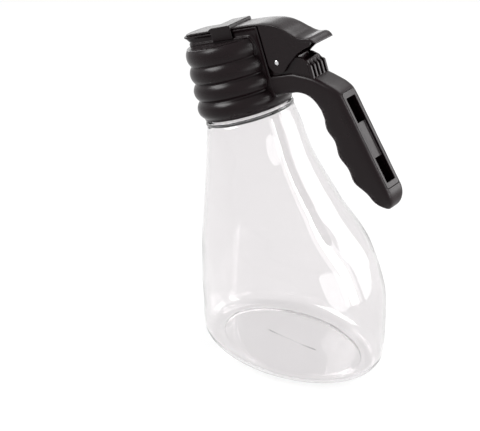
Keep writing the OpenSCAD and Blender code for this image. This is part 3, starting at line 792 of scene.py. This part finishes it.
# %% Lid plate
LID_LOW, LID_T = DECK_TOP + 0.3, 1.8
LID_TOP = LID_LOW + LID_T
LID_FRONT, TAB_BACK, TAB_W = 1.5 - LIP_REACH, 79.8, 21.4
LID_CURVE = [(LID_FRONT, -1), (LID_FRONT + 4, -0.5), (-22, 0), (20, -0.1), (36, -0.6), (44, -1.6),
             (50, -3.3), (56, -6.2), (62, -10.2), (67, -13.3), (71, -14.6), (75, -14.9), (78, -16.3),
             (TAB_BACK, -18.6)]
LID_THICK = [(LID_FRONT, LID_T), (YOKE_BACK, LID_T), (60, 2), (72, 2.4), (77, 2.2), (TAB_BACK, 1.3)]
LID_HALF = [(-10, HALF_W), (55, HALF_W), (72, TAB_W / 2), (76, TAB_W / 2), (TAB_BACK, TAB_W / 2 - 0.8)]
LID_NOSE = LID_FRONT + HALF_W
CROWN_STEPS, CROWN_DROP, EDGE_SOFT = 12, 0.5, 0.25


def lid_ring(r):
    """The plate's section at r: flat below, softly crowned above."""
    if r < LID_NOSE:
        half = math.sqrt(max(1.0, HALF_W**2 - (r - LID_NOSE) ** 2))
    else:
        half = curve_through(LID_HALF, r)
    top = LID_TOP + curve_through(LID_CURVE, r)
    low = LID_LOW if r < YOKE_BACK + 0.3 else top - curve_through(LID_THICK, r)
    ring = [(r, -half + 0.2, low), (r, half - 0.2, low), (r, half, low + EDGE_SOFT)]
    for j in range(CROWN_STEPS + 1):
        across = 1 - 2 * j / CROWN_STEPS
        ring.append((r, half * across, top - CROWN_DROP * abs(across) ** 6))
    ring.append((r, -half, low + EDGE_SOFT))
    return ring


stations = [LID_NOSE - HALF_W * math.cos(math.radians(6 + 84 * j / 14)) for j in range(14)]
stations += [LID_NOSE + (YOKE_BACK - LID_NOSE) * j / 20 for j in range(21)]
stations += [YOKE_BACK + 0.5 + (TAB_BACK - YOKE_BACK - 0.5) * j / 44 for j in range(45)]
plate = solid([lid_ring(r) for r in stations])
print("lid plate from", round(stations[0], 1), "to", stations[-1])

# %% Band and skirts
BAND_FROM, BAND_TO, BAND_OUT, BAND_H = -4.0, 14.0, 1.1, 1.8
BAND_HALF = HALF_W + RIM_OUT + 0.3 + BAND_OUT
BAND_TOP, BAND_LOW = LID_TOP + BAND_H, LID_LOW + 0.4
SKIRT_LOW, SKIRT_TOP = DECK_TOP - 6, LID_LOW + 0.9
band = slab([(BAND_FROM - 3, LID_TOP - 0.4), (BAND_FROM - 0.6, BAND_TOP - 0.8),
             (BAND_FROM + 1.6, BAND_TOP - 0.2), (BAND_TO - 1, BAND_TOP), (BAND_TO - 0.2, BAND_TOP - 0.4),
             (BAND_TO, LID_TOP - 1), (BAND_TO, BAND_LOW), (BAND_FROM, BAND_LOW)], 2 * BAND_HALF)
skirt_outline = [(BAND_FROM, SKIRT_LOW), (BAND_TO, SKIRT_LOW),
                 (BAND_TO, SKIRT_TOP), (BAND_FROM, SKIRT_TOP)]
skirts = [slab(skirt_outline, BAND_OUT, side * (BAND_HALF - BAND_OUT / 2)) for side in (-1, 1)]
print("band:", BAND_TO - BAND_FROM, "mm long")

# %% Cheeks, and the lid as one moulding
cheek_outline = [(YOKE_BACK + 1, LID_LOW - 0.4), (YOKE_BACK + 1, PIN_H), (PIN_X, PIN_H),
                 (PIN_X + 5.5, PIN_H - 5.4), (PIN_X + 8.6, PIN_H - 2.6), (56.4, 30.4), (60, 32.9), (63.8, 35),
                 (68, 36.7), (72.6, 37.8), (75.6, 40), (75, LID_TOP - 16), (71, LID_TOP - 16),
                 (62, LID_TOP - 11.4), (56, LID_TOP - 7.2), (50, LID_TOP - 4.6), (44, LID_TOP - 3.3)]
cheeks = []
for side in (-1, 1):
    middle = side * (HALF_W - CHEEK_T / 2)
    cheeks.append(slab(cheek_outline, CHEEK_T, middle))
    cheeks.append(rod_across(PIN_X, PIN_H, CHEEK_R, CHEEK_T, middle, 96))
lid = moulding([plate, band] + skirts + cheeks, [rod_across(PIN_X, PIN_H, PIN_R + 0.15, 40)],
               voxel=0.36, rounds=3)
placed(lid, "flip_lid_lever", "lid", "black_plastic", "flip_lid")

# %% [markdown]
# ## The return spring
# A torsion spring sits round the pin in the block's notch. One leg lies on the
# notch's floor and the other pushes up under the lid. The spring is set in
# place once and rides on neither body.

# %% Spring
COIL_TURNS, COIL_STEP, COIL_POINTS, LEG_ANGLE = 4, 1.5, 104, math.radians(146)
FLOOR_LEG, LID_LEG, FOLD_BELOW, FOLD_ABOVE = 9, 22.2, 3.2, 1.8
COIL_ANGLE = math.radians(270) - LEG_ANGLE + COIL_TURNS * 2 * math.pi
COIL_LEN = COIL_ANGLE / (2 * math.pi) * COIL_STEP


def coil_point(f):
    """A point on the coil, from its floor end at 0 to its lid end at 1."""
    turn = -math.pi / 2 - f * COIL_ANGLE
    across = -COIL_LEN / 2 + f * COIL_LEN
    return Vector((PIN_X + COIL_R * math.cos(turn), across, PIN_H + COIL_R * math.sin(turn)))


leg_way = Vector((math.sin(LEG_ANGLE), 0, -math.cos(LEG_ANGLE)))
path = [coil_point(0) + Vector((FLOOR_LEG * (1 - j / 6), 0, 0)) for j in range(6)]
path += [coil_point(j / COIL_POINTS) for j in range(COIL_POINTS + 1)]
path += [coil_point(1) + leg_way * LID_LEG * (j / 12) for j in range(1, 13)]
spring = tube(path, WIRE_R)
placed(spring, "torsion_spring", None, "pin_steel", "return_spring")
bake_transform(spring)
print("spring:", len(path), "stations")

# %% [markdown]
# ## The thread on the neck
# The cap screws on. One raised thread winds round the neck and runs out softly
# at both ends. It shows only when the cap is off, but the neck is bare without it.

# %% Neck thread
THREAD_LEAD, THREAD_OUT, THREAD_HALF, THREAD_LOW = 5.0, 1.4, 0.9, 8
THREAD_TURNS, THREAD_STEPS = 1.6, 120
thread_rings = []
for j in range(THREAD_STEPS + 1):
    f = j / THREAD_STEPS
    t = 2 * math.pi * THREAD_TURNS * f
    grow = min(1.0, 8 * f, 8 * (1 - f))
    out, half = THREAD_OUT * max(grow, 0.05), THREAD_HALF * max(grow, 0.3)
    h = THREAD_LOW + THREAD_LEAD * THREAD_TURNS * f
    root, crest = NECK_R - 0.3, NECK_R + out
    tooth = [(root, -half), (crest, -half * 0.35), (crest, half * 0.35), (root, half)]
    thread_rings.append([(r * math.cos(t), r * math.sin(t), h + d) for r, d in tooth])
thread = solid(thread_rings)
thread.data.set_sharp_from_angle(angle=math.radians(30))
placed(thread, "neck_thread", "bottle", "clear_plastic")
dress(thread, clear)

# %% [markdown]
# ## Black moulded plastic
# The cap is moulded in black ABS with a satin skin. Up close it has a fine
# spark-eroded grain and faint flow clouds in its gloss. Its outward edges are a
# little shinier, and their colour is painted lighter as a highlight. Two node
# groups make the grain and the edge mask.


# %% Grain, and an edge mask for shine and a painted highlight, as groups
def node_group(name, inputs, outputs):
    """An empty shader node group with number sockets; inputs are names with values."""
    group = bpy.data.node_groups.new(name, "ShaderNodeTree")
    for socket_name, value in inputs:
        socket = group.interface.new_socket(socket_name, in_out="INPUT", socket_type="NodeSocketFloat")
        socket.default_value = value
    for socket_name in outputs:
        group.interface.new_socket(socket_name, in_out="OUTPUT", socket_type="NodeSocketFloat")
    return group, group.nodes.new("NodeGroupInput"), group.nodes.new("NodeGroupOutput")


def moulded_grain_group():
    """Fine bumps of a spark-eroded mould, and slow clouds in its gloss."""
    group, enter, leave = node_group("moulded_grain", (("Grain Size", 1400.0), ("Cloud Size", 60.0)),
                                     ("Height", "Clouds"))
    where = add_node(group, "TexCoord")
    for output, size, detail in (("Height", "Grain Size", 2), ("Clouds", "Cloud Size", 3)):
        noise = add_node(group, "TexNoise", {"Detail": detail})
        wire(group, where, "Object", noise, "Vector")
        wire(group, enter, size, noise, "Scale")
        wire(group, noise, "Fac", leave, output)
    return group


def rub_and_edge_highlight_group():
    """A mask of outward edges, from the mesh's own curvature."""
    group, enter, leave = node_group("rub_and_painted_edge_highlight", (("Low", 0.52), ("High", 0.62)), ("Mask",))
    shape = add_node(group, "NewGeometry")
    spread = add_node(group, "MapRange")
    wire(group, shape, "Pointiness", spread, "Value")
    wire(group, enter, "Low", spread, "From Min")
    wire(group, enter, "High", spread, "From Max")
    wire(group, spread, "Result", leave, "Mask")
    return group


def use_group(tree, group, values=None):
    """Places a node group in a material with its own values."""
    node = add_node(tree, "Group")
    node.node_tree = group
    set_values(node, values or {})
    return node


GRAIN, RUB_AND_HIGHLIGHT = moulded_grain_group(), rub_and_edge_highlight_group()
print("groups:", GRAIN.name, "and", RUB_AND_HIGHLIGHT.name)


# %% Black plastic
def colour_by(tree, mask, output, first, second, shader):
    """Base colour that goes from the first to the second colour with a mask."""
    mix = add_node(tree, "Mix")
    mix.data_type = "RGBA"
    mix.inputs[6].default_value, mix.inputs[7].default_value = first, second
    wire(tree, mask, output, mix, 0)
    wire(tree, mix, 2, shader, "Base Color")


def black_plastic(name, smooth, rough, grain_depth):
    """Black ABS between two roughness values, with a grain of that depth in metres."""
    material, tree, shader = new_material(name, {"Specular IOR Level": 0.16})
    grain, rub_and_highlight = use_group(tree, GRAIN), use_group(tree, RUB_AND_HIGHLIGHT)
    gloss = add_node(tree, "MapRange", {"From Min": 0.3, "From Max": 0.7, "To Min": smooth, "To Max": rough})
    wire(tree, grain, "Clouds", gloss, "Value")
    shine = add_node(tree, "Math", {1: -0.08})
    shine.operation = "MULTIPLY_ADD"
    wire(tree, rub_and_highlight, "Mask", shine, 0)
    wire(tree, gloss, "Result", shine, 2)
    wire(tree, shine, 0, shader, "Roughness")
    # Outward edges get a lighter colour as a painted highlight, and the same mask makes them a little
    # shinier.
    colour_by(tree, rub_and_highlight, "Mask", (0.0062, 0.003, 0.0037, 1), (0.014, 0.0105, 0.0112, 1), shader)
    bump = add_node(tree, "Bump", {"Strength": 0.4, "Distance": grain_depth})
    wire(tree, grain, "Height", bump, "Height")
    wire(tree, bump, "Normal", shader, "Normal")
    return material


satin = black_plastic("satin_black", 0.22, 0.3, 0.00006)
soft_black = black_plastic("grip_black", 0.27, 0.36, 0.0001)
satin_pieces, held_pieces = (collar, deck, funnel, disc, hinge_block, lid), (grip, cover)
for piece in satin_pieces:
    dress(piece, satin)
for piece in held_pieces:
    dress(piece, soft_black)
print("black plastic on", len(satin_pieces) + len(held_pieces), "pieces")

# %% [markdown]
# ## Rubber
# The seal under the lid and the gasket are soft grey rubber. It looks chalky
# under its fine bloom, so its grey is a slow mix of two, and hardly shines.

# %% Rubber
rubber, tree, shader = new_material("grey_rubber", {"Roughness": 0.72})
bloom = use_group(tree, GRAIN, {"Grain Size": 900})
colour_by(tree, bloom, "Clouds", (0.10, 0.10, 0.10, 1), (0.17, 0.17, 0.165, 1), shader)
for name in ("neck_gasket", "lid_seal"):
    dress(nodes[name], rubber)
print("rubber on the gasket and the seal")

# %% [markdown]
# ## Steel
# The pin and the spring are drawn steel wire, bright, with faint changes of
# gloss. The pin, the seal and the gasket are the CAD solids themselves, so a
# bevel takes their sharp edges off without moving them.

# %% Steel and soft edges
steel, tree, shader = new_material("drawn_steel", {"Base Color": (0.6, 0.6, 0.61, 1), "Metallic": 1.0})
lines = use_group(tree, GRAIN, {"Cloud Size": 700})
gloss = add_node(tree, "MapRange", {"To Min": 0.2, "To Max": 0.34})
wire(tree, lines, "Clouds", gloss, "Value")
wire(tree, gloss, "Result", shader, "Roughness")
dress(nodes["hinge_pin"], steel)
dress(spring, steel)
for name, width in (("lid_seal", 0.0004), ("neck_gasket", 0.0003), ("hinge_pin", 0.0002)):
    edge = nodes[name].modifiers.new("soft edge", "BEVEL")
    edge.width, edge.segments, edge.limit_method = width, 3, "ANGLE"
print("steel on the pin and the spring")

# %% [markdown]
# ## Floor and backdrop
# The photograph is cut out on white. The floor and the world are white for
# what the camera sees, directly or through the plastic, and plain to the
# lamps, so no extra light falls on the object to get a white picture.


# %% White for the camera
WORLD_GLOW, FLOOR_GLOW = 0.35, 0.85


def seen_white(tree):
    """1 where a ray comes from the camera, a mirror or through clear plastic."""
    path = add_node(tree, "LightPath")
    either, also = add_node(tree, "Math"), add_node(tree, "Math")
    either.operation = also.operation = "MAXIMUM"
    wire(tree, path, "Is Camera Ray", either, 0)
    wire(tree, path, "Is Glossy Ray", either, 1)
    wire(tree, either, 0, also, 0)
    wire(tree, path, "Is Transmission Ray", also, 1)
    return also


def between(tree, low, high):
    """low for the lamps' own light, high for what the camera sees."""
    share = add_node(tree, "MapRange", {"To Min": low, "To Max": high})
    wire(tree, seen_white(tree), 0, share, "Value")
    return share


world = bpy.data.worlds.new("white_studio")
bpy.context.scene.world = world
world.use_nodes = True
tree = world.node_tree
tree.nodes.clear()
sky = add_node(tree, "Background", {"Color": (1, 1, 1, 1)})
wire(tree, between(tree, WORLD_GLOW, 1.0), "Result", sky, "Strength")
wire(tree, sky, "Background", add_node(tree, "OutputWorld"), "Surface")
print("world:", world.name)

# %% Floor
FLOOR_HALF, FLOOR_T = 2, 0.0004
corners = [(FLOOR_HALF * x, FLOOR_HALF * y) for x, y in ((-1, -1), (1, -1), (1, 1), (-1, 1))]
floor = skin("floor", [[Vector((x, y, z)) for x, y in corners] for z in (-FLOOR_T, 0.0)])
floor_white, tree, shader = new_material("floor_white", {"Base Color": (0.9, 0.9, 0.9, 1), "Roughness": 0.9})
glow = add_node(tree, "Emission", {"Strength": 1.0})
both = add_node(tree, "MixShader")
wire(tree, between(tree, 0.0, FLOOR_GLOW), "Result", both, "Fac")
wire(tree, shader, "BSDF", both, 1)
wire(tree, glow, "Emission", both, 2)
wire(tree, both, "Shader", tree.nodes["Material Output"], "Surface")
dress(floor, floor_white)
print("floor:", 2 * FLOOR_HALF, "m wide")

# %% [markdown]
# ## Light
# Black plastic shows little but what it mirrors, and so does a clear wall. A sun
# or point lamps would leave dots, so these are area lamps: soft boxes for the
# broad highlights, and a narrow strip with a paler halo for a long streak. Each
# is placed for where its mirror image falls on the object.

# %% Lamps
LAMP_AIM = Vector((0.0, 0.0, 0.13))
for name, shape, place, wide, tall, power in (
        ("key_box", "RECTANGLE", (-0.75, -0.58, 0.86), 0.7, 0.45, 14),
        ("top_box", "RECTANGLE", (0.05, 0.62, 1.05), 0.8, 0.5, 6.5),
        ("side_strip", "RECTANGLE", (1.1, 0.15, 0.56), 0.28, 1.0, 8),
        ("side_halo", "RECTANGLE", (1.2, 0.16, 0.62), 0.7, 1.2, 4.5),
        ("back_box", "RECTANGLE", (0.9, 0.95, 0.5), 1.0, 1.0, 9),
        ("back_core", "RECTANGLE", (0.85, 0.9, 0.5), 0.5, 0.6, 6),
        ("low_box", "ELLIPSE", (1.12, -0.34, 0.28), 0.7, 0.6, 2.2),
        ("rim_box", "RECTANGLE", (-0.85, 0.8, 0.26), 0.5, 0.26, 0.8)):
    lamp = in_scene(name, bpy.data.lights.new(name, "AREA"))
    lamp.data.shape, lamp.data.energy = shape, power
    lamp.data.size, lamp.data.size_y = wide, tall
    lamp.location = place
    look_along(lamp, LAMP_AIM - Vector(place))
bpy.context.scene.view_settings.view_transform = "Standard"
print("lamps:", len(bpy.data.lights))
